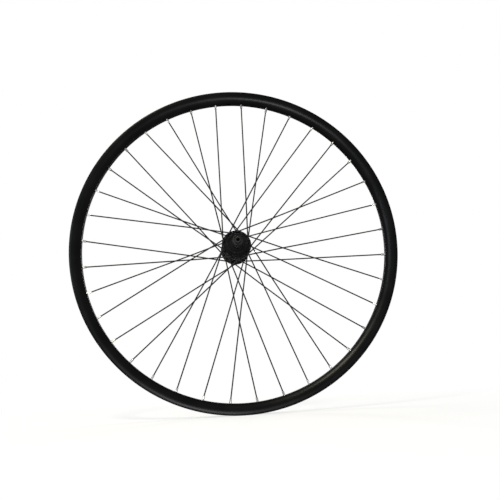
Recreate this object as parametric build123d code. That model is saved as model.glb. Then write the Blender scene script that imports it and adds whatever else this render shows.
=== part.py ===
from build123d import *
import os
from math import acos, asin, atan2, cos, degrees, pi, radians, sin, sqrt, tan

# Rear wheel of a bicycle, 26 inch, without its tyre. Millimetres.
# The origin is the wheel's centre, the axle lies along Y with the drive side at -Y,
# and the valve hole is at the top, at +Z. Angles run from +X towards +Z.

# Rim: an extruded hollow section
bead_seat_d = 559.0
flange_height = 6.0
rim_width = 26.0
rim_depth = 19.2
side_radius = 22.0
belly_inset = 3.2
bevel_angle = 40.0
side_wall = 1.4
flange_tip = 2.2
bridge_wall = 1.2
spoke_bed_wall = 2.0
well_depth = 2.5
well_width = 10.0
well_slope = 2.5
valve_hole_d = 8.5
access_hole_d = 8.6

# Lacing
spoke_count = 36
crossings = 3
spoke_d = 2.3
wire_sides = 6
spoke_head_d = 4.2
spoke_head_height = 1.4
elbow_radius = 2.0
elbow_gap = 0.5
head_gap = 0.05
crossing_gap = 0.2
spoke_hole_gap = 0.25

# Nipples
nipple_d = 4.0
nipple_length = 12.0
nipple_head_d = 6.0
nipple_head_height = 2.2
nipple_hole_gap = 0.25
nipple_seat_gap = 0.05
thread_gap = 0.1
thread_reach = 0.6
bore_end_gap = 0.3

# Hub shell
flange_offset_right = 23.5
flange_offset_left = 29.0
pitch_circle_d = 45.0
flange_land = 3.0
flange_width = 3.2
flange_chamfer = 0.7
barrel_d = 31.0
barrel_flare = 3.5
shell_bore_d = 22.0
freewheel_thread_d = 34.8
freewheel_thread_length = 12.2
freewheel_stop_d = 39.0
freewheel_stop_width = 2.2
left_end_d = 34.0
left_end_length = 8.2
mouth_chamfer = 0.8

# Axle and what turns with it
over_locknuts = 135.0
axle_stub = 5.5
axle_d = 10.0
axle_bore_d = 5.6
fit_gap = 0.05
bearing_d = 26.0
bearing_width = 8.0
inner_ring_d = 14.6
bearing_gap = 0.3
dust_cap_width = 2.4
dust_cap_recess = 0.4
dust_cap_gap = 0.3
cone_nose_step = 0.4
cone_mouth_gap = 0.6
cone_body_d = 18.0
cone_body_length = 7.0
cone_flats = 15.0
lock_washer_d = 17.0
lock_washer_width = 1.6
spacer_d = 15.0
locknut_flats = 17.0
locknut_sides = 6
locknut_width = 5.0

# Rim section
bead_seat_r = bead_seat_d / 2
rim_r = bead_seat_r + flange_height
crown_r = rim_r - rim_depth
bed_r = crown_r + spoke_bed_wall
well_r = bead_seat_r - well_depth
bridge_r = well_r - bridge_wall

# Corner radius of a flat-sided wire with the area of the round one
wire_corner = sqrt(2 * pi / (wire_sides * sin(2 * pi / wire_sides)))
spoke_r = spoke_d / 2 * wire_corner
pitch_r = pitch_circle_d / 2
flange_r = pitch_r + flange_land

axle_end = over_locknuts / 2 + axle_stub
cone_nose_d = inner_ring_d - 2 * cone_nose_step

# Plan of one spoke, seen along the axle: from its flange hole to its seat in the rim
lacing_turn = radians(crossings * 720 / spoke_count)
plan_length = sqrt(pitch_r**2 + bed_r**2 - 2 * pitch_r * bed_r * cos(lacing_turn))
axis_distance = pitch_r * bed_r * sin(lacing_turn) / plan_length
hole_to_foot = sqrt(pitch_r**2 - axis_distance**2)
crossing_half_turn = radians((2 * crossings - 1) * 360 / spoke_count) + acos(axis_distance / pitch_r)
crossing_reach = axis_distance * tan(crossing_half_turn) - hole_to_foot
flange_edge_reach = sqrt(flange_r**2 - axis_distance**2) - hole_to_foot


class Side:
    """One side of the hub: its sign along Y, its flange and the mouth of its bearing seat."""

    def __init__(self, name, sign, flange_offset, end_length):
        self.name = name
        self.sign = sign
        self.flange = sign * flange_offset
        self.mouth = sign * (flange_offset + flange_width / 2 + end_length)
        self.bearing_face = self.mouth - sign * (dust_cap_width + dust_cap_recess)
        self.bearing_back = self.bearing_face - sign * bearing_width
        self.cone_shoulder = self.mouth + sign * cone_mouth_gap
        self.cone_face = self.cone_shoulder + sign * cone_body_length
        self.washer_face = self.cone_face + sign * lock_washer_width
        self.locknut_face = sign * over_locknuts / 2
        self.locknut_back = self.locknut_face - sign * locknut_width


right = Side("right", -1, flange_offset_right, freewheel_stop_width + freewheel_thread_length)
left = Side("left", 1, flange_offset_left, left_end_length)


def around(radius, angle):
    """The point at a radius and an angle in degrees on the wheel's middle plane."""
    return Vector(radius * cos(radians(angle)), 0, radius * sin(radians(angle)))


def turned(outline):
    """The solid that a closed outline of (radius, place along the axle) points sweeps round the axle."""
    return revolve(make_face(Polyline(*outline, close=True)), Axis.Y)


def ring(outer_d, inner_d, start, end):
    """A plain ring round the axle between two places along it."""
    outline = [(inner_d / 2, start), (outer_d / 2, start), (outer_d / 2, end), (inner_d / 2, end)]
    return turned(outline)


def prism(shape, plane, start, end):
    """A flat shape, laid in a plane, drawn out along the plane's normal from start to end."""
    return extrude(plane.offset(start) * shape, end - start)


class Spoke:
    """One spoke's place and path, with the nipple on its end.

    The path is flat: it lies in the plane of the axle's direction and the spoke's own run in plan.
    """

    def __init__(self, side, rim_angle, leading):
        self.side = side
        # leading spokes leave the flange on its outer face, trailing ones on its inner face
        turn = degrees(lacing_turn) if leading else -degrees(lacing_turn)
        self.seat = around(bed_r, rim_angle)
        hub_hole = around(pitch_r, rim_angle + turn)
        run = (self.seat - hub_hole).normalized()
        self.plane = Plane(hub_hole, x_dir=run, z_dir=run.cross(Vector(0, 1, 0)))
        self.elbow_sign = side.sign if leading else -side.sign
        # at the outermost crossing the leading spoke passes inside the trailing one
        middle = side.flange * (1 - crossing_reach / plan_length)
        aside = spoke_r + crossing_gap / 2
        self.crossing = Vector(crossing_reach, middle - self.elbow_sign * aside)
        self.end_direction = (Vector(plan_length, 0) - self.crossing).normalized()

    def elbow(self):
        """Three points of the bend, which lifts the wire just clear of the flange's face and edge."""
        clear = flange_width / 2 + spoke_r + elbow_gap
        drop = flange_edge_reach / crossing_reach
        crossing_rise = self.elbow_sign * (self.crossing.Y - self.side.flange)
        rise = max(clear, (clear - crossing_rise * drop) / (1 - drop))
        corner = Vector(0, self.side.flange + self.elbow_sign * rise)
        inward = Vector(0, self.elbow_sign)
        outward = (self.crossing - corner).normalized()
        half_turn = radians(inward.get_angle(outward)) / 2
        tangent = elbow_radius * tan(half_turn)
        middle = (outward - inward).normalized() * (elbow_radius / cos(half_turn) - elbow_radius)
        return [corner - inward * tangent, corner + middle, corner + outward * tangent]

    def wire(self):
        """The headed and bent wire, from its head at the flange to its end in the nipple."""
        head_place = self.side.flange - self.elbow_sign * (flange_width / 2 + head_gap)
        start = Vector(0, head_place)
        end = Vector(plan_length, 0) + self.end_direction * thread_reach
        points = [self.plane.from_local_coords(p) for p in [start, *self.elbow(), self.crossing, end]]
        along = Vector(0, self.elbow_sign, 0)
        across = Plane(points[0], x_dir=self.plane.z_dir, z_dir=along)
        section = across * RegularPolygon(spoke_r, wire_sides)
        body = sweep(section, Polyline(*points), transition=Transition.RIGHT)
        head = RegularPolygon(spoke_head_d / 2, wire_sides)
        return body + prism(head, across, -spoke_head_height, 0)

    def nipple_plane(self):
        """The plane across the nipple at the middle of its seat, facing the tyre."""
        outward = self.plane.from_local_coords(self.end_direction) - self.plane.origin
        return Plane(self.seat, x_dir=self.plane.z_dir, z_dir=outward)

    def nipple(self):
        """The nipple: a shank through the rim, with a head that seats on the spoke bed."""
        plane = self.nipple_plane()
        tilt = radians(plane.z_dir.get_angle(self.seat))
        seat = nipple_head_d / 2 * tan(tilt) + nipple_seat_gap
        end = seat + nipple_head_height
        body = prism(RegularPolygon(nipple_d / 2, wire_sides), plane, end - nipple_length, seat)
        body += prism(RegularPolygon(nipple_head_d / 2, wire_sides), plane, seat, end)
        bore = RegularPolygon(spoke_r + thread_gap, wire_sides)
        return body - prism(bore, plane, end - nipple_length, thread_reach + bore_end_gap)

    def rim_holes(self):
        """The nipple's hole in the spoke bed, and the wider hole behind it that lets the nipple in."""
        plane = self.nipple_plane()
        middle = (bridge_r - bed_r) / 2
        small = RegularPolygon(nipple_d / 2 + nipple_hole_gap, wire_sides, major_radius=False)
        wide = RegularPolygon(access_hole_d / 2, wire_sides)
        return [
            prism(small, plane, -2 * spoke_bed_wall, middle),
            prism(wide, plane, middle, well_r - bed_r + 2 * bridge_wall),
        ]

    def flange_hole(self):
        """The hole that the wire's bent end goes through."""
        plane = Plane(self.plane.origin, x_dir=self.plane.z_dir, z_dir=(0, 1, 0))
        hole = RegularPolygon(spoke_r + spoke_hole_gap, wire_sides)
        return prism(hole, plane, self.side.flange - flange_width, self.side.flange + flange_width)


def laced_spokes():
    """All the spokes in order round the rim, starting beside the valve hole."""
    pitch = 360 / spoke_count
    pattern = [(right, False), (left, False), (right, True), (left, True)]
    spokes = []
    for index in range(spoke_count):
        side, leading = pattern[index % len(pattern)]
        spokes.append(Spoke(side, 90 - pitch * (index + 0.5), leading))
    return spokes


class RimSide:
    """One rounded side of the rim, at a depth under its outer face: an arc that runs on into a bevel."""

    def __init__(self, depth):
        self.radius = side_radius - depth
        self.middle = rim_width / 2 - side_radius
        self.belly_r = rim_r - belly_inset
        self.bevel_start = self.at_tilt(radians(bevel_angle))

    def at_tilt(self, tilt):
        """The point of the arc where its face is tilted that far towards the hub."""
        return (self.belly_r - self.radius * sin(tilt), self.middle + self.radius * cos(tilt))

    def at_radius(self, radius):
        """The point of the side at a radius from the axle."""
        start_r, start_place = self.bevel_start
        if radius < start_r:
            return (radius, start_place - (start_r - radius) * tan(radians(bevel_angle)))
        return self.at_tilt(asin((self.belly_r - radius) / self.radius))

    def edges(self, inner_r, outer_r):
        """The bevel and the arc between two radii, from the hub outwards."""
        arc_r = max(inner_r, self.bevel_start[0])
        points = [self.at_radius(radius) for radius in (arc_r, (arc_r + outer_r) / 2, outer_r)]
        arc = ThreePointArc(*points)
        return [Line(self.at_radius(inner_r), points[0]), arc] if inner_r < arc_r else [arc]


def both_sides(half):
    """The face inside a half outline's edges, read outwards from the hub, and their mirror image."""
    half = Curve() + half
    ends = [half.edges()[0] @ 0, half.edges()[-1] @ 1]
    across = [Line(end, (end.X, -end.Y)) for end in ends]
    return make_face(half + mirror(half, Plane.XZ) + across)


def rim(spokes):
    """The hollow rim with its tyre well, nipple holes and valve hole."""
    outside = RimSide(0)
    inside = RimSide(side_wall)
    half_well = well_width / 2
    tip_place = outside.at_radius(rim_r)[1]
    tyre_side = Polyline(
        outside.at_radius(rim_r),
        (rim_r, tip_place - flange_tip),
        (bead_seat_r, inside.at_radius(bead_seat_r)[1]),
        (bead_seat_r, half_well + well_slope),
        (well_r, half_well),
    )
    # the hollow follows the outside at the depth of its walls
    roof_r = bead_seat_r - bridge_wall
    under_well = half_well + bridge_wall * tan(atan2(well_depth, well_slope) / 2)
    roof = Polyline(
        inside.at_radius(roof_r),
        (roof_r, under_well + well_slope),
        (bridge_r, under_well),
    )
    section = both_sides([*outside.edges(crown_r, rim_r), tyre_side])
    section -= both_sides([*inside.edges(bed_r, roof_r), roof])
    body = revolve(section, Axis.Y)
    holes = [hole for spoke in spokes for hole in spoke.rim_holes()]
    valve = prism(Circle(valve_hole_d / 2), Plane.XY, crown_r - spoke_bed_wall, rim_r)
    return body - holes - valve


def hub_shell(spokes):
    """The turned shell: two drilled flanges on a barrel, a threaded boss and two bearing seats."""
    inner = flange_width / 2
    stop = right.flange - inner - freewheel_stop_width
    outline = [
        (bearing_d / 2 + fit_gap, right.mouth),
        (freewheel_thread_d / 2 - mouth_chamfer, right.mouth),
        (freewheel_thread_d / 2, right.mouth + mouth_chamfer),
        (freewheel_thread_d / 2, stop),
        (freewheel_stop_d / 2, stop),
        (freewheel_stop_d / 2, right.flange - inner),
        *flange_edge(right.flange),
        (barrel_d / 2 + barrel_flare, right.flange + inner),
        (barrel_d / 2, right.flange + inner + barrel_flare),
        (barrel_d / 2, left.flange - inner - barrel_flare),
        (barrel_d / 2 + barrel_flare, left.flange - inner),
        *flange_edge(left.flange),
        (left_end_d / 2, left.flange + inner),
        (left_end_d / 2, left.mouth - mouth_chamfer),
        (left_end_d / 2 - mouth_chamfer, left.mouth),
        (bearing_d / 2 + fit_gap, left.mouth),
        (bearing_d / 2 + fit_gap, left.bearing_back),
        (shell_bore_d / 2, left.bearing_back),
        (shell_bore_d / 2, right.bearing_back),
        (bearing_d / 2 + fit_gap, right.bearing_back),
    ]
    return turned(outline) - [spoke.flange_hole() for spoke in spokes]


def flange_edge(place):
    """The chamfered outer edge of the flange at a place along the axle, from right to left."""
    half = flange_width / 2
    face_r = flange_r - flange_chamfer
    return [
        (face_r, place - half),
        (flange_r, place - half + flange_chamfer),
        (flange_r, place + half - flange_chamfer),
        (face_r, place + half),
    ]


def cone(side):
    """The adjusting nut: a nose against the bearing's inner ring and a body with two wrench flats."""
    bore_d = axle_d + 2 * fit_gap
    nose = ring(cone_nose_d, bore_d, side.bearing_face, side.cone_shoulder)
    body = ring(cone_body_d, bore_d, side.cone_shoulder, side.cone_face)
    return nose + (body & Box(cone_flats, 2 * axle_end, cone_body_d))


def locknut(side):
    """The six-sided nut that bears on the frame's dropout."""
    outline = RegularPolygon(locknut_flats / 2, locknut_sides, major_radius=False)
    section = outline - Circle(axle_d / 2 + fit_gap)
    plane = Plane(origin=(0, 0, 0), x_dir=(1, 0, 0), z_dir=(0, side.sign, 0))
    return prism(section, plane, abs(side.locknut_back), abs(side.locknut_face))


def hub_pieces(side):
    """The pieces on one side of the hub, by name, from the bearing outwards."""
    seat_d = axle_d + 2 * fit_gap
    return {
        "bearing_outer_ring": ring(
            bearing_d, inner_ring_d + 2 * bearing_gap, side.bearing_back, side.bearing_face
        ),
        "bearing_inner_ring": ring(inner_ring_d, seat_d, side.bearing_back, side.bearing_face),
        "dust_cap": ring(
            bearing_d,
            inner_ring_d + 2 * dust_cap_gap,
            side.bearing_face,
            side.bearing_face + side.sign * dust_cap_width,
        ),
        "cone": cone(side),
        "lock_washer": ring(lock_washer_d, seat_d, side.cone_face, side.washer_face),
        "axle_spacer": ring(spacer_d, seat_d, side.washer_face, side.locknut_back),
        "locknut": locknut(side),
    }


def wheel_pieces():
    """Every piece of the wheel, by name."""
    spokes = laced_spokes()
    pieces = {"rim": rim(spokes), "hub_shell": hub_shell(spokes)}
    for side in (right, left):
        own = [spoke for spoke in spokes if spoke.side is side]
        for number, spoke in enumerate(own, start=1):
            pieces[f"{side.name}_spoke_{number:02d}"] = spoke.wire()
        pieces[f"{side.name}_nipples"] = Compound([spoke.nipple() for spoke in own])
        for name, piece in hub_pieces(side).items():
            pieces[f"{side.name}_{name}"] = piece
    pieces["axle"] = ring(axle_d, axle_bore_d, -axle_end, axle_end)
    return pieces


os.makedirs("parts", exist_ok=True)
for name, piece in wheel_pieces().items():
    export_step(piece, f"parts/{name}.step")
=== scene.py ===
"""Looks of a bare, laced bicycle wheel: fine forms, finishes, studio and camera.

Lengths are in metres, in the part's own frame: the origin is the wheel's centre, the axle lies
along Y with the drive side at -Y, and the valve hole is at the top, at +Z.
"""

import logging
from abc import ABC, abstractmethod
from dataclasses import dataclass
from enum import Enum
from functools import cached_property, partialmethod
from math import acos, asin, atan2, ceil, cos, hypot, pi, radians, sin, sqrt, tan
from typing import Any, Mapping, Sequence

import bmesh
import bpy
import numpy as np
from mathutils import Matrix, Vector


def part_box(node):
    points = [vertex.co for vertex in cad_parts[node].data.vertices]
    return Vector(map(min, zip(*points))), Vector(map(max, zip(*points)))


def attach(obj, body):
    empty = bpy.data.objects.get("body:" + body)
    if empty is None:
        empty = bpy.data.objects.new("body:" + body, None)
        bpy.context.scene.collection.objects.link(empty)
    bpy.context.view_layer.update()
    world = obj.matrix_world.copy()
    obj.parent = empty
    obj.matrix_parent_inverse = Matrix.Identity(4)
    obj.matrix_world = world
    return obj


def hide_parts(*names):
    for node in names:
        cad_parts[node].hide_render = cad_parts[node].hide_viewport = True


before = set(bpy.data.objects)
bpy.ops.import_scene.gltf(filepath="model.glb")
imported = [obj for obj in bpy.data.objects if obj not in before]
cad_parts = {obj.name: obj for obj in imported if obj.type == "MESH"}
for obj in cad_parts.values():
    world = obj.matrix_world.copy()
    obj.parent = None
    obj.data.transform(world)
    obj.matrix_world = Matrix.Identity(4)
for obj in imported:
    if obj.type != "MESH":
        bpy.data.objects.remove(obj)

MM = 0.001
INCH = 25.4 * MM
ARC_STEP = radians(12)  # largest turn between two points of a rounding
ROUNDING_SHARE = 0.49  # most of a run that a rounding takes up at each end
SHARP_EDGE = radians(34)  # smallest turn between two faces that shows as an edge
SAME_PLACE = 0.001 * MM  # largest distance between points that count as level
WELD = 0.002 * MM  # longest edge of a sliver
MIX_FIRST, MIX_SECOND, MIX_RESULT = 6, 7, 2  # a Mix node's sockets for colours
ALONG_AXLE = Vector((0, 1, 0))

Array = np.ndarray
Colour = Place = tuple[float, float, float]
Faces = list[tuple[int, ...]]
Settings = Mapping[str | int, Any] | None

WHITE: Colour = (1.0, 1.0, 1.0)

log = logging.getLogger("wheel")


class Body(Enum):
    """The two bodies that turn on each other."""

    AXLE_SET = "axle_set"
    WHEEL = "wheel"


class Slot(Enum):
    """The record's finish slots."""

    RIM = "rim_black"
    SHELL = "shell_black"
    SPOKE = "spoke_black"
    NIPPLE = "nipple_bright"
    AXLE = "axle_steel"
    NUT = "nut_black"
    BEARING = "bearing_steel"
    CAP = "cap_rubber"


class Hand(Enum):
    """The wheel's two sides, each with its direction along the axle."""

    RIGHT = -1
    LEFT = 1

    def node(self, piece: str) -> str:
        """Names the CAD node of a piece on this side."""
        return f"{self.name.lower()}_{piece}"


# Outlines


@dataclass(frozen=True)
class Corner:
    """A corner of an outline, with the radius of its rounding."""

    r: float  # distance from the axis, or along a wire's run
    y: float  # place along the axle
    rounding: float = 0.0


def rounded_corner(before: Array, here: Array, after: Array, radius: float) -> list[Array]:
    """Draws the rounding of one corner.

    Args:
        before: the corner before it.
        here: the corner itself.
        after: the corner after it.
        radius: the rounding's radius, made smaller where the runs are too short for it.

    Returns:
        The points of the arc, in order.
    """
    back, on = before - here, after - here
    room = ROUNDING_SHARE * min(hypot(*back), hypot(*on))
    back, on = back / hypot(*back), on / hypot(*on)
    half = acos(float(np.clip(back @ on, -1, 1))) / 2
    tangent = min(radius / tan(half), room)
    radius = tangent * tan(half)
    middle = here + (back + on) / hypot(*(back + on)) * (radius / sin(half))
    r, y = here + back * tangent - middle
    turn = (pi - 2 * half) * np.sign(back[1] * on[0] - back[0] * on[1])
    angles = np.linspace(0, turn, max(2, ceil(abs(turn) / ARC_STEP)) + 1)
    return [middle + (r * cos(angle) - y * sin(angle), r * sin(angle) + y * cos(angle)) for angle in angles]


def outline(corners: Sequence[Corner], closed: bool = True) -> Array:
    """Draws an outline with its corners rounded.

    Args:
        corners: the corners in order.
        closed: whether the last corner joins the first.

    Returns:
        The outline's points, one a row.
    """
    places = [np.array((corner.r, corner.y)) for corner in corners]
    last = len(corners) - 1
    drawn: list[Array] = []
    for index, corner in enumerate(corners):
        if corner.rounding == 0 or (not closed and index in (0, last)):
            drawn.append(places[index])
        else:
            after = places[(index + 1) % len(places)]
            drawn += rounded_corner(places[index - 1], places[index], after, corner.rounding)
    return np.array(drawn)


# Cuts into turned pieces


@dataclass
class Skin:
    """The points of a turned surface."""

    r: Array  # distance from the axis
    y: Array  # place along it
    turn: Array  # angle round it


class Relief(ABC):
    """A cut into a turned surface."""

    def with_rows(self, profile: Array) -> Array:
        """Returns an outline with the points that the cut needs on its straight runs."""
        return profile

    @abstractmethod
    def cut(self, skin: Skin) -> None:
        """Moves the points that the cut reaches."""


@dataclass(frozen=True)
class Thread(Relief):
    """A screw thread in a round face, running out at both ends."""

    radius: float  # at its crests
    start: float  # lower end along the axle
    end: float
    pitch: float
    depth: float
    flank: float = 1.5  # steepness of its sides, 1 for a sharp V
    rows_a_turn: int = 8

    def with_rows(self, profile: Array) -> Array:
        """Adds rows to the run that the thread is cut into.

        Args:
            profile: the outline's points, which go up the axle on that run.

        Returns:
            The outline with the added points.
        """
        places = np.arange(self.start, self.end, self.pitch / self.rows_a_turn)
        rows = []
        for here, after in zip(profile, np.roll(profile, -1, axis=0)):
            rows.append(here)
            if max(abs(here[0] - self.radius), abs(after[0] - self.radius)) < SAME_PLACE:
                inside = places[(places > here[1] + SAME_PLACE) & (places < after[1] - SAME_PLACE)]
                rows += [np.array((self.radius, place)) for place in inside]
        return np.array(rows)

    def cut(self, skin: Skin) -> None:
        """Sinks the thread's groove into the face.

        Args:
            skin: the surface that the face is part of.
        """
        phase = (skin.y / self.pitch - skin.turn / (2 * pi)) % 1.0
        groove = np.clip(0.5 + self.flank * (np.abs(2 * phase - 1) - 0.5), 0, 1)
        run_out = np.clip(np.minimum(skin.y - self.start, self.end - skin.y) / self.pitch, 0, 1)
        on_face = np.abs(skin.r - self.radius) < SAME_PLACE
        skin.r = np.where(on_face, skin.r - self.depth * groove * run_out, skin.r)


@dataclass(frozen=True)
class Flats(Relief):
    """Flat faces on a round piece."""

    count: int
    across: float  # distance between two opposite ones
    ends: tuple[float, float]  # along the axis
    first: float = 0.0  # angle of the first one's normal

    def cut(self, skin: Skin) -> None:
        """Brings the surface in to the flats.

        Args:
            skin: the surface of the round piece.
        """
        half = pi / self.count
        off = (skin.turn - self.first + half) % (2 * half) - half
        limit = self.across / 2 / np.abs(np.cos(off))
        low, high = sorted(self.ends)
        reached = (skin.y >= low - SAME_PLACE) & (skin.y <= high + SAME_PLACE)
        skin.r = np.where(reached, np.minimum(skin.r, limit), skin.r)


@dataclass(frozen=True)
class Teeth(Relief):
    """Grip teeth round the edge of an end face."""

    count: int
    drop: float  # of the gaps between them, along the axle
    face: float  # place of the face along the axle
    inner_r: float

    def cut(self, skin: Skin) -> None:
        """Sinks the gaps into the face.

        Args:
            skin: the surface that the face is part of.
        """
        reached = (np.abs(skin.y - self.face) < SAME_PLACE) & (skin.r > self.inner_r)
        wave = 0.5 + 0.5 * np.cos(self.count * skin.turn)
        skin.y = np.where(reached, skin.y - self.drop * wave, skin.y)


# Forms


def put(name: str, data: bpy.types.ID) -> bpy.types.Object:
    """Puts an object into the scene.

    Args:
        name: its name.
        data: its mesh, lamp or camera.

    Returns:
        The object.
    """
    item = bpy.data.objects.new(name, data)
    bpy.context.scene.collection.objects.link(item)
    return item


@dataclass
class Form:
    """A closed mesh in the making."""

    points: Array
    faces: Faces
    wire_place: Array | None = None  # each point's place along and around its wire

    @staticmethod
    def grid(rows: int, steps: int, ring: bool) -> Faces:
        """Joins rows of points into faces.

        Args:
            rows: number of rows.
            steps: points in each row, which is a closed loop.
            ring: whether the last row joins the first; without it both ends get a flat cap.

        Returns:
            The faces.
        """
        faces: Faces = []
        for row in range(rows if ring else rows - 1):
            here, after = row * steps, (row + 1) % rows * steps
            for step in range(steps):
                on = (step + 1) % steps
                faces.append((here + step, here + on, after + on, after + step))
        if not ring:
            faces += [tuple(range(steps)), tuple(range((rows - 1) * steps, rows * steps))]
        return faces

    @classmethod
    def turned(cls, corners: Sequence[Corner], steps: int, *reliefs: Relief, ring: bool = True) -> "Form":
        """Turns an outline round the Y axis.

        Args:
            corners: the outline's corners.
            steps: faces round the axis.
            reliefs: what is cut into the turned surface, in order.
            ring: whether the outline is closed; an open one gives a solid with flat ends.

        Returns:
            The turned form.
        """
        profile = outline(corners, closed=ring)
        for relief in reliefs:
            profile = relief.with_rows(profile)
        angles = np.linspace(0, 2 * pi, steps, endpoint=False)
        r, turn = np.meshgrid(profile[:, 0], angles, indexing="ij")
        skin = Skin(r, np.repeat(profile[:, 1:], steps, axis=1), turn)
        for relief in reliefs:
            relief.cut(skin)
        points = np.stack([skin.r * np.cos(turn), skin.y, skin.r * np.sin(turn)], axis=-1)
        return cls(points.reshape(-1, 3), cls.grid(len(profile), steps, ring))

    @classmethod
    def drawn(cls, path: Array, radii: Array, steps: int) -> "Form":
        """Draws a round wire along a flat path.

        Args:
            path: the path's points in the XY plane, one a row.
            radii: the wire's radius at each point.
            steps: faces round the wire.

        Returns:
            The wire.
        """
        runs = np.diff(path, axis=0)
        lengths = np.hypot(*runs.T)
        runs = runs / lengths[:, None]
        along = np.concatenate([[0], np.cumsum(lengths)])
        tangents = np.vstack([runs[:1], runs[:-1] + runs[1:], runs[-1:]])
        tangents /= np.hypot(*tangents.T)[:, None]
        angles = np.linspace(0, 2 * pi, steps, endpoint=False)
        side, rise = radii[:, None] * np.cos(angles), radii[:, None] * np.sin(angles)
        x, y = path[:, :1] - tangents[:, 1:] * side, path[:, 1:] + tangents[:, :1] * side
        points = np.stack([x, y, rise], axis=-1)
        place = np.stack(np.broadcast_arrays(along[:, None], np.cos(angles), np.sin(angles)), axis=-1)
        return cls(points.reshape(-1, 3), cls.grid(len(path), steps, ring=False), place.reshape(-1, 3))

    def placed(self, matrix: Matrix) -> "Form":
        """Returns the form moved by a matrix."""
        turn, shift = np.array(matrix.to_3x3()), np.array(matrix.translation)
        return Form(self.points @ turn.T + shift, self.faces, self.wire_place)

    @staticmethod
    def joined(forms: Sequence["Form"]) -> "Form":
        """Makes several forms one.

        Args:
            forms: the forms, which keep apart.

        Returns:
            The one form.
        """
        faces: Faces = []
        count = 0
        for form in forms:
            faces += [tuple(point + count for point in face) for face in form.faces]
            count += len(form.points)
        return Form(np.vstack([form.points for form in forms]), faces)

    def mesh(self, name: str) -> bpy.types.Mesh:
        """Makes the Blender mesh, with its slivers welded and its faces turned outwards.

        Args:
            name: the mesh's name.

        Returns:
            The mesh.
        """
        mesh = bpy.data.meshes.new(name)
        mesh.from_pydata(self.points.tolist(), [], self.faces)
        shaped = bmesh.new()
        shaped.from_mesh(mesh)
        bmesh.ops.dissolve_degenerate(shaped, dist=WELD, edges=shaped.edges)
        bmesh.ops.recalc_face_normals(shaped, faces=shaped.faces)
        shaped.to_mesh(mesh)
        shaped.free()
        if self.wire_place is not None:
            attribute = mesh.attributes.new("wire_place", "FLOAT_VECTOR", "POINT")
            attribute.data.foreach_set("vector", self.wire_place.astype(np.float32).ravel())
        return mesh

    def without(self, *tools: "Form") -> "Form":
        """Takes volumes out of the form, one after the other.

        Args:
            tools: the volumes.

        Returns:
            What is left of the form.
        """
        mesh = self.mesh("body")
        for tool in tools:
            host, cutter = put("host", mesh), put("cutter", tool.mesh("cutter"))
            cut = host.modifiers.new("cut", "BOOLEAN")
            cut.operation, cut.solver, cut.object = "DIFFERENCE", "MANIFOLD", cutter
            graph = bpy.context.evaluated_depsgraph_get()
            mesh = bpy.data.meshes.new_from_object(host.evaluated_get(graph))
            for item in (host, cutter):
                spent = item.data
                bpy.data.objects.remove(item)
                bpy.data.meshes.remove(spent)
        points = np.array([vertex.co for vertex in mesh.vertices])
        faces = [tuple(face.vertices) for face in mesh.polygons]
        bpy.data.meshes.remove(mesh)
        return Form(points, faces)


# Finishes


@dataclass
class Socket:
    """An output of a shader node; arithmetic on it adds Math nodes."""

    shader: "Shader"
    output: bpy.types.NodeSocket | None

    def then(self, operation: str, other: "Socket | float") -> "Socket":
        """Adds a Math node on this value and another."""
        return self.shader.math(operation, self, other)

    def after(self, operation: str, other: float) -> "Socket":
        """Adds a Math node on a number and this value."""
        return self.shader.math(operation, other, self)

    __add__, __radd__ = partialmethod(then, "ADD"), partialmethod(after, "ADD")
    __sub__, __rsub__ = partialmethod(then, "SUBTRACT"), partialmethod(after, "SUBTRACT")
    __mul__, __rmul__ = partialmethod(then, "MULTIPLY"), partialmethod(after, "MULTIPLY")
    __pow__, __rpow__ = partialmethod(then, "POWER"), partialmethod(after, "POWER")


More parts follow.
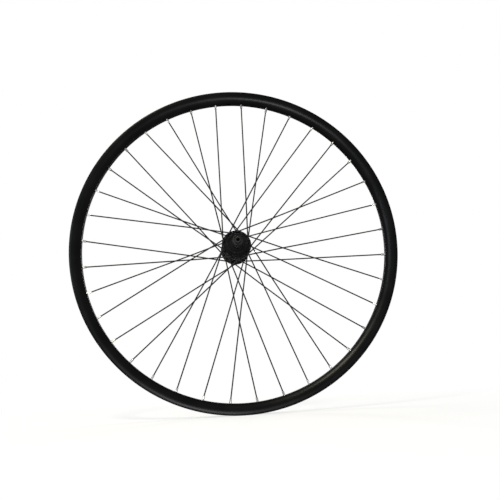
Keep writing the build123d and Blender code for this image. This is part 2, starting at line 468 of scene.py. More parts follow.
class Shader:
    """A node tree in the making, of a material or of the world."""

    def __init__(self, owner: bpy.types.Material | bpy.types.World) -> None:
        """Clears the owner's node tree.

        Args:
            owner: the material or world that the tree belongs to.
        """
        owner.use_nodes = True
        self.tree = owner.node_tree
        self.tree.nodes.clear()

    def node(
        self, kind: str, settings: Settings = None, inputs: Settings = None, output: str | int = 0
    ) -> Socket:
        """Adds a node.

        Args:
            kind: the node's type.
            settings: its properties, set before its sockets.
            inputs: a number, colour or Socket for each input, by name or place.
            output: the output to return.

        Returns:
            The chosen output.
        """
        node = self.tree.nodes.new(kind)
        for name, value in (settings or {}).items():
            setattr(node, name, value)
        for key, value in (inputs or {}).items():
            if isinstance(value, Socket):
                self.tree.links.new(value.output, node.inputs[key])
            else:
                node.inputs[key].default_value = value
        return Socket(self, node.outputs[output] if node.outputs else None)

    def math(self, operation: str, first: Socket | float, second: Socket | float) -> Socket:
        """Adds a Math node on two values."""
        return self.node("ShaderNodeMath", {"operation": operation}, {0: first, 1: second})

    def place(self) -> Socket:
        """Returns the place on the piece, in the wheel's frame."""
        return self.node("ShaderNodeTexCoord", output="Object")

    def noise(self, vector: Socket, grain: float, detail: float) -> Socket:
        """Adds noise about a half, with blotches of a size in the vector's unit and finer layers in it."""
        inputs = {"Vector": vector, "Scale": 1 / grain, "Detail": detail}
        return self.node("ShaderNodeTexNoise", inputs=inputs)

    def between(self, factor: Socket, first: Colour, second: Colour) -> Socket:
        """Mixes two colours by a factor."""
        inputs = {0: factor, MIX_FIRST: (*first, 1.0), MIX_SECOND: (*second, 1.0)}
        return self.node("ShaderNodeMix", {"data_type": "RGBA"}, inputs, MIX_RESULT)

    def ramp(self, value: Socket, low: float, high: float) -> Socket:
        """Runs smoothly from 0 at a low value to 1 at a high one."""
        inputs = {"Value": value, "From Min": low, "From Max": high}
        return self.node("ShaderNodeMapRange", {"interpolation_type": "SMOOTHSTEP"}, inputs)

    def bump(self, height: Socket, depth: float, strength: float) -> Socket:
        """Adds relief: a height from 0 to 1 over a depth in metres."""
        inputs = {"Height": height, "Distance": depth, "Strength": strength}
        return self.node("ShaderNodeBump", inputs=inputs)

    def seen(self) -> Socket:
        """Tells what the camera sees from what only lights the wheel.

        Returns:
            1 for rays to the camera, straight or in gloss or glass, and 0 for others.
        """
        rays = ("Is Camera Ray", "Is Glossy Ray", "Is Transmission Ray")
        camera, glossy, through = (self.node("ShaderNodeLightPath", output=ray) for ray in rays)
        return camera + glossy + through

    def end(self, surface: Socket, output: str = "ShaderNodeOutputMaterial") -> None:
        """Joins the finished surface to the tree's output."""
        self.node(output, inputs={"Surface": surface})


@dataclass(frozen=True)
class Finish(ABC):
    """A finish, whose tone, roughness and fine relief vary over the surface."""

    slot: Slot
    name: str
    colour: Colour
    second: Colour  # what the colour varies towards
    roughness: float
    specular: float = 0.5
    metallic: float = 0.0
    edge: float = 1.0  # tint of the gloss at a low angle
    coat: float = 0.0  # weight of a clear layer, as rough as the finish itself
    tones: tuple[float, float] = (0.3, 0.7)  # noise that gives the first and the second colour
    spread: float = 0.12  # how far roughness varies
    depth: float = 0.01 * MM  # of the relief
    strength: float = 0.5  # of the relief
    detail: float = 3.0  # finer layers in the noise

    @cached_property
    def material(self) -> bpy.types.Material:
        """Makes the finish's material, at its first use.

        Returns:
            The material.
        """
        material = bpy.data.materials.new(self.name)
        material.diffuse_color = (*self.colour, 1.0)
        shader = Shader(material)
        tone, other, height = self.pattern(shader)
        inputs = {
            "Base Color": shader.between(shader.ramp(tone, *self.tones), self.colour, self.second),
            "Roughness": self.roughness + self.spread * (tone + other - 1.0),
            "Normal": shader.bump(height, self.depth, self.strength),
            "Metallic": self.metallic,
            "Specular IOR Level": self.specular,
            "Specular Tint": (self.edge, self.edge, self.edge, 1.0),
            "Coat Weight": self.coat,
            "Coat Roughness": self.roughness,
        }
        shader.end(shader.node("ShaderNodeBsdfPrincipled", inputs=inputs))
        return material

    @abstractmethod
    def pattern(self, shader: Shader) -> tuple[Socket, Socket, Socket]:
        """Adds the noise that the finish varies with.

        Args:
            shader: the material's shader.

        Returns:
            What tone and roughness follow, what else roughness follows, and the relief's height.
        """


@dataclass(frozen=True)
class TurnedFinish(Finish):
    """Metal with fine lines round the axle, left by the tool or the die, under its coat."""

    line_pitch: float = 0.25 * MM
    line_share: float = 0.7  # of the lines in the relief, the rest is grain
    grain: float = 0.12 * MM
    cloud: float = 35 * MM  # size of the slow changes of tone
    spread: float = 0.1
    detail: float = 2.0

    def pattern(self, shader: Shader) -> tuple[Socket, Socket, Socket]:
        """Adds lines round the axle, a fine grain and a slow change of tone.

        Args:
            shader: the material's shader.

        Returns:
            The slow change, the lines, and the lines with the grain.
        """
        place = shader.place()
        x, y, z = (shader.node("ShaderNodeSeparateXYZ", inputs={0: place}, output=axis) for axis in "XYZ")
        ring = shader.node("ShaderNodeCombineXYZ", inputs={0: (x * x + z * z) ** 0.5, 1: y})
        lines = shader.noise(ring, self.line_pitch, self.detail)
        grain = shader.noise(place, self.grain, self.detail)
        cloud = shader.noise(place, self.cloud, 2 * self.detail)
        return cloud, lines, self.line_share * lines + (1 - self.line_share) * grain


@dataclass(frozen=True)
class WireFinish(Finish):
    """Drawn wire, with streaks along it under a thin coat."""

    streak: float = 18 * MM  # length of the streaks
    streaks_round: float = 4.0
    cloud: float = 1.5 * MM  # size of the changes in gloss
    tones: tuple[float, float] = (0.35, 0.65)
    depth: float = 0.008 * MM
    strength: float = 0.4

    def pattern(self, shader: Shader) -> tuple[Socket, Socket, Socket]:
        """Adds streaks along the wire and a change of gloss.

        Args:
            shader: the material's shader.

        Returns:
            The streaks, the change of gloss, and the streaks again.
        """
        place = shader.node("ShaderNodeAttribute", {"attribute_name": "wire_place"}, output="Vector")
        stretch = (1 / self.streak, self.streaks_round, self.streaks_round)
        along = shader.node("ShaderNodeVectorMath", {"operation": "MULTIPLY"}, {0: place, 1: stretch})
        streaks = shader.noise(along, 1.0, self.detail)
        return streaks, shader.noise(shader.place(), self.cloud, self.detail), streaks


@dataclass(frozen=True)
class MouldedFinish(Finish):
    """Matt moulded or plated surface with a fine grain and blotches."""

    grain: float = 0.3 * MM
    blotch: float = 3 * MM
    depth: float = 0.02 * MM
    strength: float = 0.3

    def pattern(self, shader: Shader) -> tuple[Socket, Socket, Socket]:
        """Adds blotches and a grain.

        Args:
            shader: the material's shader.

        Returns:
            The blotches, the grain, and the grain again.
        """
        sizes = (self.blotch, self.grain)
        blotch, grain = (shader.noise(shader.place(), size, self.detail) for size in sizes)
        return blotch, grain, grain


RIM_BLACK = TurnedFinish(
    Slot.RIM, "rim_satin_black", (0.0034, 0.0035, 0.0037), (0.0050, 0.0050, 0.0052), 0.30,
    metallic=1.0, edge=0.2, coat=0.04, depth=0.008 * MM,
)
SHELL_BLACK = TurnedFinish(
    Slot.SHELL, "shell_satin_black", (0.0027, 0.0027, 0.0032), (0.0041, 0.0041, 0.0047), 0.30,
    specular=0.045, line_pitch=0.4 * MM,
)
SPOKE_BLACK = WireFinish(
    Slot.SPOKE, "spoke_black_coat", (0.004, 0.004, 0.004), (0.008, 0.008, 0.008), 0.36, specular=0.09
)
NIPPLE_BRIGHT = MouldedFinish(
    Slot.NIPPLE, "nipple_nickel_plate", (0.36, 0.355, 0.34), (0.24, 0.24, 0.235), 0.30,
    metallic=1.0, depth=0.01 * MM,
)
AXLE_STEEL = TurnedFinish(
    Slot.AXLE, "axle_blacked_steel", (0.006, 0.006, 0.006), (0.012, 0.012, 0.012), 0.32,
    specular=0.12, cloud=6 * MM,
)
NUT_BLACK = TurnedFinish(
    Slot.NUT, "nut_black_plate", (0.0034, 0.0034, 0.0038), (0.0076, 0.0076, 0.0080), 0.30,
    specular=0.085, cloud=8 * MM,
)
BEARING_STEEL = TurnedFinish(
    Slot.BEARING, "bearing_ground_steel", (0.56, 0.56, 0.57), (0.48, 0.48, 0.49), 0.22,
    metallic=1.0, depth=0.003 * MM,
)
CAP_RUBBER = MouldedFinish(
    Slot.CAP, "cap_black_rubber", (0.0028, 0.0028, 0.003), (0.0056, 0.0056, 0.006), 0.62, specular=0.06
)


def add_piece(node: str, ending: str, form: Form, body: Body, finish: Finish) -> None:
    """Adds a finished piece of the wheel in place of its CAD node.

    Args:
        node: the CAD node that it stands for.
        ending: what its name adds to the node's.
        form: its form, in place.
        body: the body that it moves with.
        finish: its finish.
    """
    name = f"{node}_{ending}"
    mesh = form.mesh(name)
    mesh.shade_smooth()
    mesh.set_sharp_from_angle(angle=SHARP_EDGE)
    mesh.materials.append(finish.material)
    piece = put(name, mesh)
    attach(piece, body.value)
    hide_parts(node)
    log.info("%s: %d faces on %s, for %s", name, len(mesh.polygons), body.value, node)


# The wheel


@dataclass
class Lacing:
    """Where the spokes run between the flanges and the rim."""

    spoke_count: int = 36
    crossings: int = 3
    pitch_r: float = 22.5 * MM  # circle of the spoke holes in a flange
    seat_r: float = 268.3 * MM  # the rim's spoke bed, where the nipples seat
    flange_offset: tuple[float, float] = (23.5 * MM, 29.0 * MM)  # right and left of the middle plane
    flange_width: float = 3.2 * MM
    flange_r: float = 25.5 * MM
    elbow_lift: float = 3.36 * MM  # rise of the bend over the flange's middle plane
    crossing_shift: float = 1.2 * MM  # how far a spoke stands aside where it passes another

    def __post_init__(self) -> None:
        """Works out the plan that all the spokes share, seen along the axle."""
        self.pitch = 2 * pi / self.spoke_count
        self.turn = 2 * self.crossings * self.pitch
        self.run = sqrt(self.pitch_r**2 + self.seat_r**2 - 2 * self.pitch_r * self.seat_r * cos(self.turn))
        axis_distance = self.pitch_r * self.seat_r * sin(self.turn) / self.run
        foot = sqrt(self.pitch_r**2 - axis_distance**2)
        outermost = (2 * self.crossings - 1) * self.pitch + acos(axis_distance / self.pitch_r)
        self.crossing_reach = axis_distance * tan(outermost) - foot
        self.edge_reach = sqrt(self.flange_r**2 - axis_distance**2) - foot

    def flange(self, hand: Hand) -> float:
        """Returns the place of a flange along the axle."""
        return hand.value * self.flange_offset[0 if hand is Hand.RIGHT else 1]

    @cached_property
    def spokes(self) -> list["Spoke"]:
        """Lays out all the spokes.

        Returns:
            The spokes, in order round the rim from the valve hole.
        """
        pattern = [(Hand.RIGHT, False), (Hand.LEFT, False), (Hand.RIGHT, True), (Hand.LEFT, True)]
        counts = {Hand.RIGHT: 0, Hand.LEFT: 0}
        spokes = []
        for index in range(self.spoke_count):
            hand, leading = pattern[index % len(pattern)]
            counts[hand] += 1
            spokes.append(Spoke(self, hand, counts[hand], pi / 2 - self.pitch * (index + 0.5), leading))
        return spokes


def around(radius: float, angle: float) -> Vector:
    """Returns the point at a radius and an angle on the wheel's middle plane."""
    return Vector((radius * cos(angle), 0, radius * sin(angle)))


def frame_along(origin: Vector, along: Vector, side: Vector) -> Matrix:
    """Returns the matrix that lays a form's origin, Y axis and X axis on a point and two directions."""
    axes = Matrix((side, along, side.cross(along))).transposed().to_4x4()
    return Matrix.Translation(origin) @ axes


@dataclass
class Spoke:
    """One spoke's place in the lacing. Its own plane has X along its run and Y along the axle."""

    lacing: Lacing
    hand: Hand  # the side whose flange it hangs on
    number: int  # on that side
    rim_angle: float  # of its seat in the rim
    leading: bool  # whether its bend lies on the flange's outer face

    def __post_init__(self) -> None:
        """Works out its ends and direction in plan, and its crossing, end and bend in its own plane."""
        lacing, flange = self.lacing, self.lacing.flange(self.hand)
        way = 1 if self.leading else -1
        self.rise = way * self.hand.value  # the way that the bend leaves the flange
        self.hole = around(lacing.pitch_r, self.rim_angle + way * lacing.turn)
        self.seat = around(lacing.seat_r, self.rim_angle)
        self.run = (self.seat - self.hole).normalized()
        reach, lift = lacing.crossing_reach, lacing.elbow_lift
        passing = flange * (1 - reach / lacing.run) - self.rise * lacing.crossing_shift
        self.crossing = np.array((reach, passing))
        direction = np.array((lacing.run, 0.0)) - self.crossing
        self.end_direction = direction / hypot(*direction)
        on, aside = self.end_direction
        self.outward = self.run * on + ALONG_AXLE * aside  # out through the rim
        share = lacing.edge_reach / reach
        clear = (lift - self.rise * (passing - flange) * share) / (1 - share)  # of the flange's edge
        self.elbow = np.array((0.0, flange + self.rise * max(lift, clear)))

    def plane(self) -> Matrix:
        """Returns the matrix of its own plane."""
        return frame_along(self.hole, ALONG_AXLE, self.run)

    def nipple_frame(self) -> Matrix:
        """Returns the matrix of its nipple: Y out through the rim, the origin on the seat."""
        return frame_along(self.seat, self.outward, self.run.cross(ALONG_AXLE))

    def seat_tilt(self) -> float:
        """Returns the angle between its nipple and the rim's own radius."""
        return self.outward.angle(self.seat)


@dataclass
class Wires:
    """The spokes: plain round wire with a forged head and a bend at the hub."""

    lacing: Lacing
    radius: float = 1.15 * MM
    head_r: float = 2.1 * MM
    head_height: float = 1.4 * MM
    head_gap: float = 0.05 * MM  # room under the head
    dome_height: float = 0.77 * MM
    dome_start: float = 0.12  # angle of the dome's first ring, which leaves a flat top
    dome_rings: int = 8
    band_end: float = 1.05 * MM  # where the head starts to narrow, down from its top
    neck_r: float = 1.288 * MM  # the wire's radius under its head
    neck_end: float = 1.82 * MM  # down from the head's top
    bend_radius: float = 2.1 * MM
    crossing_radius: float = 120 * MM  # of the slight bend where two spokes pass
    reach: float = 0.6 * MM  # how far the wire goes past the nipple's seat
    steps: int = 16
    longest: float = 12 * MM  # longest face along the wire
    digits: int = 7  # stations along the wire that agree to so many decimals are one

    def head(self) -> Array:
        """Draws the head's outline.

        Returns:
            Distance down from the head's top and radius, one point a row.
        """
        angles = np.linspace(self.dome_start, pi / 2, self.dome_rings)
        rows = [(self.dome_height * (1 - cos(angle)), self.head_r * sin(angle)) for angle in angles]
        rows.append((self.band_end, self.head_r))
        rows.append((self.head_height + self.head_gap, self.neck_r))
        rows.append((self.neck_end, self.radius))
        return np.array(rows)

    def form(self, spoke: Spoke) -> Form:
        """Builds one spoke's wire.

        Args:
            spoke: the spoke.

        Returns:
            Its wire, in place.
        """
        lacing = self.lacing
        under = lacing.flange_width / 2 + self.head_gap + self.head_height
        top = lacing.flange(spoke.hand) - spoke.rise * under
        end = np.array((lacing.run, 0.0)) + spoke.end_direction * self.reach
        corners = [
            Corner(0.0, top),
            Corner(*spoke.elbow, self.bend_radius),
            Corner(*spoke.crossing, self.crossing_radius),
            Corner(*end),
        ]
        line = outline(corners, closed=False)
        along = np.concatenate([[0], np.cumsum(np.hypot(*np.diff(line, axis=0).T))])
        head = self.head()
        spread = np.linspace(0, along[-1], ceil(along[-1] / self.longest))
        stations = np.concatenate([head[:, 0], along[1:], spread[1:]])
        stations = np.unique(stations.round(self.digits))
        path = np.stack([np.interp(stations, along, line[:, axis]) for axis in (0, 1)], axis=-1)
        radii = np.interp(stations, head[:, 0], head[:, 1])
        return Form.drawn(path, radii, self.steps).placed(spoke.plane())

    def build(self) -> None:
        """Adds each spoke as a piece of its own."""
        for spoke in self.lacing.spokes:
            node = spoke.hand.node(f"spoke_{spoke.number:02d}")
            add_piece(node, "wire", self.form(spoke), Body.WHEEL, SPOKE_BLACK)


@dataclass
class Nipples:
    """The nipples: round nuts with wrench flats and a slotted head inside the rim."""

    lacing: Lacing
    radius: float = 2.0 * MM
    length: float = 12.0 * MM
    bore_r: float = 1.18 * MM  # which the wire fills
    foot_chamfer: float = 0.35 * MM
    flat_count: int = 4
    flats: float = 3.3 * MM  # distance between two opposite wrench flats
    flats_length: float = 5.5 * MM
    flats_run_out: float = 0.3 * MM
    head_r: float = 3.0 * MM
    head_height: float = 2.2 * MM
    neck: float = 0.2 * MM  # how far the shank ends below the head
    seat_height: float = 0.66 * MM  # of the head's conical seat
    seat_rounding: float = 0.2 * MM
    crown_height: float = 0.99 * MM  # where the head's crown starts
    crown_rounding: float = 0.4 * MM
    top_land: float = 0.5 * MM  # flat ring round the bore
    top_rounding: float = 0.3 * MM
    slot_width: float = 1.1 * MM
    slot_depth: float = 1.0 * MM
    seat_gap: float = 0.05 * MM
    turn: float = radians(137.5)  # by which truing left each further round than the one before
    steps: int = 32

    def nipple(self) -> Form:
        """Builds one nipple.

        Returns:
            The nipple along Y, its head's underside at the origin.
        """
        foot = self.head_height - self.length
        flats_end = foot + self.flats_length
        corners = [
            Corner(self.bore_r, foot),
            Corner(self.radius - self.foot_chamfer, foot),
            Corner(self.radius, foot + self.foot_chamfer),
            Corner(self.radius, flats_end),
            Corner(self.radius, flats_end + self.flats_run_out),
            Corner(self.radius, -self.neck),
            Corner(self.head_r, self.seat_height, self.seat_rounding),
            Corner(self.head_r, self.crown_height, self.crown_rounding),
            Corner(self.bore_r + self.top_land, self.head_height, self.top_rounding),
            Corner(self.bore_r, self.head_height),
        ]
        wrench = Flats(self.flat_count, self.flats, (foot, flats_end))
        body = Form.turned(corners, self.steps, wrench)
        square = ((-1, -1), (1, -1), (1, 1), (-1, 1))
        ends = (self.head_height - self.slot_depth, 2 * self.head_height)
        slot = np.array([(x, y, z) for y in ends for x, z in square])
        slot *= (2 * self.head_r, 1.0, self.slot_width / 2)
        return body.without(Form(slot, Form.grid(len(ends), len(square), ring=False)))

    def build(self) -> None:
        """Adds each side's nipples as one piece."""
        nipple = self.nipple()
        placed: dict[Hand, list[Form]] = {hand: [] for hand in Hand}
        for spoke in self.lacing.spokes:
            lift = self.head_r * tan(spoke.seat_tilt()) + self.seat_gap
            turn = Matrix.Rotation(self.turn * spoke.number, 4, "Y")
            seated = spoke.nipple_frame() @ Matrix.Translation((0, lift, 0)) @ turn
            placed[spoke.hand].append(nipple.placed(seated))
        for hand, forms in placed.items():
            add_piece(hand.node("nipples"), "plated", Form.joined(forms), Body.WHEEL, NIPPLE_BRIGHT)


@dataclass
class Rim:
    """The rim: a hollow hoop with rounded sides, a tyre channel and drilled holes."""

    lacing: Lacing
    depth: float = 19.2 * MM  # from the outer edge to the crown
    side_radius: float = 22.0 * MM
    side_rows: int = 14
    belly_inset: float = 3.2 * MM  # from the outer edge to where the rim is widest
    bevel: float = radians(40)  # slope of the sides next to the crown
    side_wall: float = 1.4 * MM
    bed_edge: float = 1.0 * MM  # rounding between the bevel and the crown
    bridge_wall: float = 1.2 * MM  # between the hollow and the tyre
    flange_height: float = 6.0 * MM  # over the bead seat
    flange_tip: float = 2.2 * MM  # thickness
    tip_edge: float = 0.7 * MM
    tip_inner_edge: float = 0.9 * MM
    seat_root: float = 0.6 * MM
    well_depth: float = 2.5 * MM  # under the bead seat
    well_half: float = 5.0 * MM
    well_slope: float = 2.5 * MM  # width of the well's sloping sides
    well_edge: float = 1.0 * MM
    well_root: float = 1.2 * MM
    nipple_hole_r: float = 2.2 * MM
    access_r: float = 4.3 * MM  # of the holes that let the nipples in
    access_start: float = 4.0 * MM  # where a drill widens, inside the hollow
    widening: float = 0.01 * MM
    hole_steps: int = 24
    valve_r: float = 4.25 * MM
    valve_steps: int = 40
    steps: int = 432

    def __post_init__(self) -> None:
        """Takes the rim's radius and width from the frame."""
        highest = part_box("rim")[1]
        self.outer_r, self.half_width = highest.z, highest.y

    def side(self, wall: float, inner_r: float, outer_r: float) -> list[Corner]:
        """Draws one rounded side.

        Args:
            wall: depth under the outer face.
            inner_r: radius where the bevel starts.
            outer_r: radius where the arc ends.

        Returns:
            Its corners, from the hub outwards.
        """
        radius = self.side_radius - wall
        middle = self.half_width - self.side_radius
        belly_r = self.outer_r - self.belly_inset
        tilts = np.linspace(self.bevel, asin((belly_r - outer_r) / radius), self.side_rows)
        arc = [Corner(belly_r - radius * sin(tilt), middle + radius * cos(tilt)) for tilt in tilts]
        bevel = arc[0].y - (arc[0].r - inner_r) * tan(self.bevel)
        return [Corner(inner_r, bevel, self.bed_edge), *arc]

    @staticmethod
    def both_sides(half: Sequence[Corner]) -> list[Corner]:
        """Returns the corners of a half outline and of its mirror image."""
        return [*half, *(Corner(corner.r, -corner.y, corner.rounding) for corner in reversed(half))]

    def section(self) -> tuple[list[Corner], list[Corner]]:
        """Draws the rim's section.

        Returns:
            The corners of the outside and of the hollow.
        """
        bed_r = self.lacing.seat_r
        seat_r = self.outer_r - self.flange_height
        well_r = seat_r - self.well_depth
        roof_r = seat_r - self.bridge_wall
        *side, tip = self.side(0, self.outer_r - self.depth, self.outer_r)
        seat_y = self.side(self.side_wall, bed_r, seat_r)[-1].y
        outside = [
            *side,
            Corner(tip.r, tip.y, self.tip_edge),
            Corner(tip.r, tip.y - self.flange_tip, self.tip_inner_edge),
            Corner(seat_r, seat_y, self.seat_root),
            Corner(seat_r, self.well_half + self.well_slope, self.well_edge),
            Corner(well_r, self.well_half, self.well_root),
        ]
        under_well = self.well_half + self.bridge_wall * tan(atan2(self.well_depth, self.well_slope) / 2)
        hollow = [
            *self.side(self.side_wall, bed_r, roof_r),
            Corner(roof_r, under_well + self.well_slope),
            Corner(well_r - self.bridge_wall, under_well),
        ]
        return self.both_sides(outside), self.both_sides(hollow)

    def drills(self) -> Form:
        """Builds what is drilled out of the rim.

        Returns:
            The nipple holes, with their wider access holes, and the valve hole.
        """
        start, end = -self.depth, 2 * self.depth
        stepped = [
            Corner(self.nipple_hole_r, start),
            Corner(self.nipple_hole_r, self.access_start),
            Corner(self.access_r, self.access_start + self.widening),
            Corner(self.access_r, end),
        ]
        hole = Form.turned(stepped, self.hole_steps, ring=False)
        plain = [Corner(self.valve_r, place) for place in (start, end)]
        valve = Form.turned(plain, self.valve_steps, ring=False)
        tools = [hole.placed(spoke.nipple_frame()) for spoke in self.lacing.spokes]
        top = around(self.lacing.seat_r, pi / 2)
        tools.append(valve.placed(frame_along(top, Vector((0, 0, 1)), Vector((1, 0, 0)))))
        return Form.joined(tools)

    def build(self) -> None:
        """Adds the rim."""
        outside, hollow = self.section()
        tools = (Form.turned(hollow, self.steps // 2), self.drills())
        add_piece("rim", "hoop", Form.turned(outside, self.steps).without(*tools), Body.WHEEL, RIM_BLACK)


@dataclass
class HubShell:
    """The hub shell: two drilled flanges on a waisted barrel, and a threaded boss for the sprockets."""

    lacing: Lacing
    barrel_r: float = 15.5 * MM
    waist_rounding: float = 6.0 * MM
    flare: float = 3.5 * MM  # rise of the barrel into its flanges
    flare_root: float = 1.2 * MM
    flange_edge: float = 0.8 * MM
    bore_r: float = 11.0 * MM
    seat_r: float = 13.05 * MM  # of the bearings
    seat_depth: float = 10.8 * MM
    mouth_edge: float = 0.3 * MM
    boss_r: float = 17.4 * MM
    thread_pitch: float = INCH / 24
    thread_depth: float = 0.55 * MM
    thread_start: float = 0.8 * MM  # from the boss's end
    thread_end: float = 0.6 * MM  # from the stop
    stop_r: float = 19.5 * MM  # of the stop behind the boss
    stop_width: float = 2.2 * MM
    stop_edge: float = 0.4 * MM
    stop_root: float = 0.3 * MM
    plain_r: float = 17.0 * MM  # of the plain end
    plain_root: float = 0.5 * MM
    end_edge: float = 0.9 * MM
    hole_r: float = 1.5 * MM
    sink: float = 0.5 * MM  # depth of the countersink round a spoke hole
    drill_out: float = 0.9 * MM  # how far the drill starts outside the flange
    hole_steps: int = 20
    steps: int = 160

    def flange(self, hand: Hand) -> list[Corner]:
        """Returns the corners of a flange's edge, from right to left."""
        ends = (self.lacing.flange(hand) + side * self.lacing.flange_width / 2 for side in (-1, 1))
        return [Corner(self.lacing.flange_r, end, self.flange_edge) for end in ends]

    def turned(self) -> Form:
        """Builds the shell as it leaves the lathe.

        Returns:
            The shell with its thread and without its spoke holes.
        """
        lowest, highest = (corner.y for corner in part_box("hub_shell"))
        half = self.lacing.flange_width / 2
        right, left = self.lacing.flange(Hand.RIGHT), self.lacing.flange(Hand.LEFT)
        stop = right - half - self.stop_width
        flare_r = self.barrel_r + self.flare
        corners = [
            Corner(self.seat_r, lowest, self.mouth_edge),
            Corner(self.boss_r, lowest, self.end_edge),
            Corner(self.boss_r, stop),
            Corner(self.stop_r, stop, self.stop_edge),
            Corner(self.stop_r, right - half, self.stop_root),
            *self.flange(Hand.RIGHT),
            Corner(flare_r, right + half, self.flare_root),
            Corner(self.barrel_r, right + half + self.flare, self.waist_rounding),
            Corner(self.barrel_r, left - half - self.flare, self.waist_rounding),
            Corner(flare_r, left - half, self.flare_root),
            *self.flange(Hand.LEFT),
            Corner(self.plain_r, left + half, self.plain_root),
            Corner(self.plain_r, highest, self.end_edge),
            Corner(self.seat_r, highest, self.mouth_edge),
            Corner(self.seat_r, highest - self.seat_depth),
            Corner(self.bore_r, highest - self.seat_depth),
            Corner(self.bore_r, lowest + self.seat_depth),
            Corner(self.seat_r, lowest + self.seat_depth),
        ]
        ends = (lowest + self.thread_start, stop - self.thread_end)
        thread = Thread(self.boss_r, *ends, self.thread_pitch, self.thread_depth)
        return Form.turned(corners, self.steps, thread)

    def drills(self) -> Form:
        """Builds what is drilled out of the flanges.

        Returns:
            The spoke holes, countersunk on both faces.
        """
        half, out = self.lacing.flange_width / 2, self.drill_out
        waist = half - self.sink
        wide = self.hole_r + self.sink + out
        corners = [
            Corner(wide, -half - out),
            Corner(self.hole_r, -waist),
            Corner(self.hole_r, waist),
            Corner(wide, half + out),
        ]
        drill = Form.turned(corners, self.hole_steps, ring=False)
        tools = []
        for spoke in self.lacing.spokes:
            place = spoke.hole + ALONG_AXLE * self.lacing.flange(spoke.hand)
            tools.append(drill.placed(Matrix.Translation(place)))
        return Form.joined(tools)

    def build(self) -> None:
        """Adds the shell."""
        add_piece("hub_shell", "turned", self.turned().without(self.drills()), Body.WHEEL, SHELL_BLACK)


@dataclass
class Axle:
    """The hollow axle, threaded at its ends."""

    bore_r: float = 2.8 * MM
    mouth_edge: float = 0.5 * MM
    end_edge: float = 0.8 * MM
    thread_pitch: float = 1.0 * MM
    thread_depth: float = 0.5 * MM
    thread_end: float = 0.7 * MM  # from the axle's end
    hidden_turns: int = 2  # of the thread, inside the locknut
    steps: int = 96

    def build(self) -> None:
        """Adds the axle."""
        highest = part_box("axle")[1]
        radius, last = highest.z, highest.y
        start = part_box("left_locknut")[1].y - self.hidden_turns * self.thread_pitch
        end = last - self.thread_end
        pitch, depth = self.thread_pitch, self.thread_depth
        threads = [Thread(radius, *ends, pitch, depth) for ends in ((start, end), (-end, -start))]
        corners = [
            Corner(self.bore_r, -last, self.mouth_edge),
            Corner(radius, -last, self.end_edge),
            Corner(radius, last, self.end_edge),
            Corner(self.bore_r, last, self.mouth_edge),
        ]
        form = Form.turned(corners, self.steps, *threads)
        add_piece("axle", "threaded", form, Body.AXLE_SET, AXLE_STEEL)


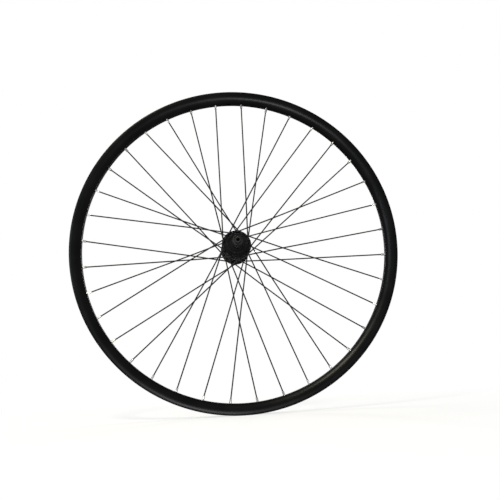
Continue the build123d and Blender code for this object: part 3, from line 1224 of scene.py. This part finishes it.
@dataclass
class AxleEnd:
    """What sits round one end of the axle: bearing, dust cap, cone, lock washer, spacer and locknut."""

    hand: Hand
    seat_gap: float = 0.05 * MM  # between the axle and what sits on it
    edge: float = 0.5 * MM  # rounding of most edges
    fine_edge: float = 0.3 * MM
    nose_r: float = 6.9 * MM  # of the cone
    cone_root: float = 0.4 * MM
    cone_outer_edge: float = 0.7 * MM
    cone_flat_count: int = 2
    cone_flats: float = 15.0 * MM  # distance between them
    cone_gap: float = 1.0 * MM  # between the cone's shoulder and the dust cap
    nut_sides: int = 6
    nut_flats: float = 17.0 * MM
    nut_chamfer: float = radians(30)
    chamfer_inset: float = 0.3 * MM  # from the locknut's flats to where its chamfer starts
    chamfer_rows: int = 4
    nut_land: float = 1.0 * MM  # plain ring round the locknut's bore
    teeth: int = 36
    tooth_depth: float = 0.35 * MM
    tooth_margin: float = 0.1 * MM
    cap_gap: float = 0.7 * MM  # between the dust cap and the cone's nose
    lip: float = 0.6 * MM  # depth of the grooves in the dust cap
    lip_edge: float = 0.2 * MM
    lip_shares: tuple[float, ...] = (1.0, 0.86, 0.80, 0.58, 0.52, 0.30, 0.22, 0.0)  # across the cap's face
    steps: int = 96

    def __post_init__(self) -> None:
        """Takes the axle's radius from the frame."""
        self.seat_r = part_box("axle")[1].z + self.seat_gap

    def span(self, piece: str) -> tuple[float, float, float]:
        """Reads a piece's place from the frame.

        Args:
            piece: its name.

        Returns:
            Its inner end, outer end and radius.
        """
        low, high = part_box(self.hand.node(piece))
        ends = (low.y, high.y) if self.hand is Hand.LEFT else (high.y, low.y)
        return (*ends, high.z)

    def collar(self, piece: str, edge: float) -> Form:
        """Builds a plain collar on the axle.

        Args:
            piece: its name.
            edge: rounding of its outer edges.

        Returns:
            The collar.
        """
        inner, outer, radius = self.span(piece)
        corners = [
            Corner(self.seat_r, inner),
            Corner(radius, inner, edge),
            Corner(radius, outer, edge),
            Corner(self.seat_r, outer),
        ]
        return Form.turned(corners, self.steps)

    def cone(self) -> Form:
        """Builds the adjusting cone.

        Returns:
            The cone with its two wrench flats.
        """
        inner, outer, radius = self.span("cone")
        shoulder = self.span("dust_cap")[1] + self.hand.value * self.cone_gap
        corners = [
            Corner(self.seat_r, inner),
            Corner(self.nose_r, inner, self.edge),
            Corner(self.nose_r, shoulder, self.cone_root),
            Corner(radius, shoulder, self.edge),
            Corner(radius, outer, self.cone_outer_edge),
            Corner(self.seat_r, outer),
        ]
        wrench = Flats(self.cone_flat_count, self.cone_flats, (shoulder, outer))
        return Form.turned(corners, self.steps, wrench)

    def locknut(self) -> Form:
        """Builds the locknut.

        Returns:
            The nut, six-sided and chamfered, with teeth on the face that grips the frame.
        """
        inner, outer, _ = self.span("locknut")
        grip = self.nut_flats / 2 - self.chamfer_inset
        half_side = pi / self.nut_sides
        reach = self.nut_flats / 2 / cos(half_side) - grip
        rise = self.hand.value * (reach * tan(self.nut_chamfer))
        shares = np.linspace(0, 1, self.chamfer_rows + 1)
        chamfer = [(grip + reach * share, rise * share) for share in shares]
        corners = [
            Corner(self.seat_r, inner, self.fine_edge),
            *(Corner(r, inner + drop) for r, drop in chamfer),
            *(Corner(r, outer - drop) for r, drop in reversed(chamfer)),
            Corner(self.seat_r + self.nut_land, outer),
            Corner(self.seat_r, outer, self.fine_edge),
        ]
        sides = Flats(self.nut_sides, self.nut_flats, (inner, outer), half_side)
        teeth = Teeth(self.teeth, self.hand.value * self.tooth_depth, outer, grip - self.tooth_margin)
        return Form.turned(corners, 2 * self.steps, sides, teeth)

    def dust_cap(self) -> Form:
        """Builds the rubber dust cap.

        Returns:
            The cap with its two lips.
        """
        inner, outer, radius = self.span("dust_cap")
        bore = self.nose_r + self.cap_gap
        corners = [Corner(bore, inner), Corner(radius, inner, self.fine_edge)]
        for index, share in enumerate(self.lip_shares):
            sunk = self.hand.value * self.lip * (index // 2 % 2)
            corners.append(Corner(bore + (radius - bore) * share, outer - sunk, self.lip_edge))
        return Form.turned(corners, self.steps)

    def build(self) -> None:
        """Adds what is locked on the axle and the dust cap, and finishes the bearing's rings."""
        forms = {
            "cone": self.cone(),
            "lock_washer": self.collar("lock_washer", self.fine_edge),
            "axle_spacer": self.collar("axle_spacer", self.edge),
            "locknut": self.locknut(),
        }
        for piece, form in forms.items():
            add_piece(self.hand.node(piece), "finished", form, Body.AXLE_SET, NUT_BLACK)
        add_piece(self.hand.node("dust_cap"), "lipped", self.dust_cap(), Body.WHEEL, CAP_RUBBER)
        for piece in ("bearing_inner_ring", "bearing_outer_ring"):
            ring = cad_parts[self.hand.node(piece)]
            ring.data.materials.clear()
            ring.data.materials.append(BEARING_STEEL.material)
            log.info("%s: finished as ground steel", ring.name)


# The studio


@dataclass(frozen=True)
class Lamp:
    """A soft round lamp."""

    name: str
    place: Place
    across: float
    watts: float
    colour: Colour = WHITE

    def add(self) -> None:
        """Adds the lamp, aimed at the wheel's centre."""
        data = bpy.data.lights.new(self.name, "AREA")
        data.shape, data.size, data.energy, data.color = "DISK", self.across, self.watts, self.colour
        lamp = put(self.name, data)
        lamp.location = self.place
        lamp.rotation_euler = (-Vector(self.place)).to_track_quat("-Z", "Y").to_euler()
        log.info("%s: lamp of %.1f W", self.name, self.watts)


@dataclass(frozen=True)
class Studio:
    """The white studio: floor, surroundings, lamps and camera."""

    camera_place: Place = (-0.0639, -1.0950, -0.2058)
    camera_back: Place = (-0.07932, -0.98055, -0.17953)
    camera_up: Place = (0.04211, -0.18293, 0.98223)
    lens: float = 45.78  # focal length in millimetres
    sensor: float = 36.0  # width in millimetres
    nearest: float = 0.01  # distance at which the camera starts to see
    floor_r: float = 40.0
    floor_steps: int = 128
    floor_colour: Colour = (0.76, 0.76, 0.76)
    shadow_r: float = 0.9  # within which the floor shows the wheel's shadow
    shadow_core: float = 0.225  # within which it shows it in full
    shadow_share: float = 0.32  # of the floor's light there that comes from the lamps
    sky_light: float = 0.25  # strength of the light from all round
    lamps: tuple[Lamp, ...] = (
        Lamp("front_lamp", (-0.064, -1.15, -0.23), 0.12, 6.2),
        Lamp("warm_lamp", (-0.48, -0.86, 0.98), 0.26, 16.5, (1.0, 0.94, 0.70)),
        Lamp("side_lamp", (-0.80, -1.16, 0.28), 0.40, 5.0, (0.88, 0.95, 1.0)),
        Lamp("back_lamp", (0.20, 1.20, 0.30), 0.12, 6.0),
        Lamp("left_lamp", (-1.30, 0.35, 0.35), 0.25, 6.0),
        Lamp("right_lamp", (1.30, 0.35, 0.35), 0.25, 6.0),
        Lamp("top_lamp", (0.0, 0.60, 1.60), 0.40, 7.0),
    )

    def floor(self) -> None:
        """Adds the floor under the wheel: white, with the wheel's shadow near it."""
        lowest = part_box("rim")[0].z
        angles = np.linspace(0, 2 * pi, self.floor_steps, endpoint=False)
        points = [(self.floor_r * cos(angle), self.floor_r * sin(angle), lowest) for angle in angles]
        mesh = Form(np.array(points), [tuple(range(self.floor_steps))]).mesh("floor")
        material = bpy.data.materials.new("floor_white")
        shader = Shader(material)
        reach = shader.node("ShaderNodeVectorMath", {"operation": "LENGTH"}, {0: shader.place()}, "Value")
        clear = shader.ramp(reach, self.shadow_core, self.shadow_r)
        share = (1 - self.shadow_share) + self.shadow_share * clear
        lit = shader.node("ShaderNodeBsdfDiffuse", inputs={"Color": (*self.floor_colour, 1.0)})
        white = shader.node("ShaderNodeEmission", inputs={"Strength": 1.0})
        mixed = shader.node("ShaderNodeMixShader", inputs={0: shader.seen() * share, 1: lit, 2: white})
        shader.end(mixed)
        mesh.materials.append(material)
        put("floor", mesh)

    def surroundings(self) -> None:
        """Makes the world white to the eye and a soft light to the rest."""
        world = bpy.data.worlds.new("white_surroundings")
        bpy.context.scene.world = world
        shader = Shader(world)
        soft, white = (
            shader.node("ShaderNodeBackground", inputs={"Color": (*WHITE, 1.0), "Strength": strength})
            for strength in (self.sky_light, 1.0)
        )
        mixed = shader.node("ShaderNodeMixShader", inputs={0: shader.seen(), 1: soft, 2: white})
        shader.end(mixed, "ShaderNodeOutputWorld")

    def camera(self) -> None:
        """Adds the camera at the photograph's viewing angle."""
        back = Vector(self.camera_back).normalized()
        right = Vector(self.camera_up).cross(back).normalized()
        axes = Matrix((right, back.cross(right), back)).transposed().to_4x4()
        data = bpy.data.cameras.new("camera")
        data.lens, data.sensor_width = self.lens, self.sensor
        data.clip_start, data.clip_end = self.nearest, 2 * self.floor_r
        camera = put("camera", data)
        camera.matrix_world = Matrix.Translation(self.camera_place) @ axes
        bpy.context.scene.camera = camera

    def build(self) -> None:
        """Adds the whole studio."""
        bpy.context.scene.view_settings.view_transform = "Standard"
        self.floor()
        self.surroundings()
        for lamp in self.lamps:
            lamp.add()
        self.camera()


def main() -> None:
    """Builds the wheel's pieces and the studio."""
    logging.basicConfig(level=logging.INFO, format="%(message)s")
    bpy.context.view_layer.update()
    lacing = Lacing()
    laced = (part(lacing) for part in (Rim, HubShell, Wires, Nipples))
    ends = (AxleEnd(hand) for hand in Hand)
    for assembly in (*laced, Axle(), *ends, Studio()):
        assembly.build()


if __name__ == "__main__":
    main()
